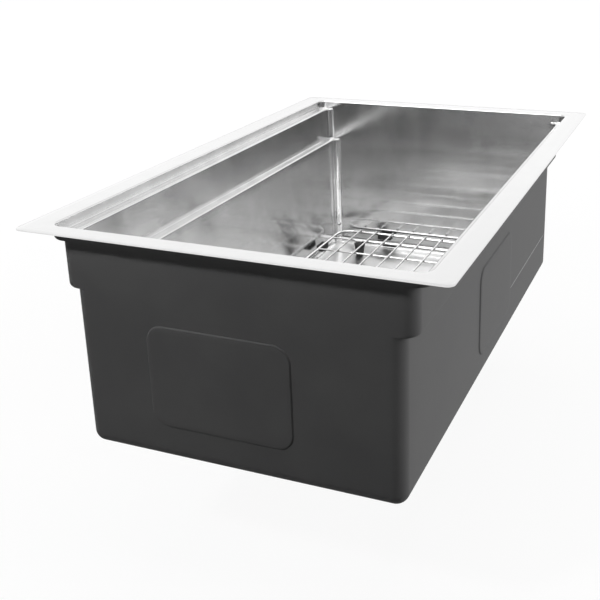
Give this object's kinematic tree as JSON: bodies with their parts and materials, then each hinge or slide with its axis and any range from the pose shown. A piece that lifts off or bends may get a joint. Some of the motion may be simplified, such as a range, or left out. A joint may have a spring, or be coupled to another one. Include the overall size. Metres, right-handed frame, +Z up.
{
  "type": "undermount kitchen sink",
  "caption": "Undermount stainless kitchen sink with a flat flange, two ledges along each long side, dark coated outside, lift-out bottom grid and basket strainer with tailpiece.",
  "frame": {"origin": "centre of the bowl's opening, level with the top face of the flange", "axes": "+X along the long side, +Y to the back, +Z up"},
  "size_m": [0.762, 0.4826, 0.4295],
  "materials": {
    "steel": "brushed satin stainless sheet",
    "coat": "sprayed dark grey sound coat, matt and slightly grained",
    "pad": "black rubber sound pad",
    "seal": "white sealant",
    "strainer_steel": "polished stainless",
    "black_rubber": "black rubber",
    "fibre": "tan fibre washer",
    "nut_brass": "cast brass nut",
    "washer_plastic": "white plastic washer",
    "tail_chrome": "chromed tube",
    "knob_plastic": "black plastic knob",
    "wire": "polished stainless wire"
  },
  "bodies": {
    "bowl": {"bowl_shell": "steel", "undercoat": "coat", "pad_near_end": "pad", "pad_far_end": "pad", "pad_front": "pad", "pad_back": "pad", "pads_floor": "pad", "strainer_body": "strainer_steel", "outlet_spigot": "nut_brass", "flange_seal": "seal", "rubber_gasket": "black_rubber", "friction_washer": "fibre", "lock_nut": "nut_brass", "tailpiece_washer": "washer_plastic", "tailpiece": "tail_chrome", "slip_nut": "tail_chrome"},
    "basket": {"basket_cup": "strainer_steel", "basket_stopper": "black_rubber", "basket_post": "strainer_steel", "basket_washer": "strainer_steel", "basket_knob": "knob_plastic"},
    "grid": {"grid_perimeter_wire": "wire", "grid_long_wires": "wire", "grid_cross_wires": "wire", "grid_drain_ring": "wire", "grid_leg_wires": "wire", "grid_feet": "black_rubber", "grid_bumpers": "black_rubber"}
  },
  "joints": [
    {"name": "grid_lift", "type": "slide", "parent": "bowl", "child": "grid", "axis": [0, 0, 1], "range_m": [0, 0.28]},
    {"name": "basket_lift", "type": "slide", "parent": "bowl", "child": "basket", "axis": [0, 0, 1], "range_m": [0, 0.34]}
  ]
}
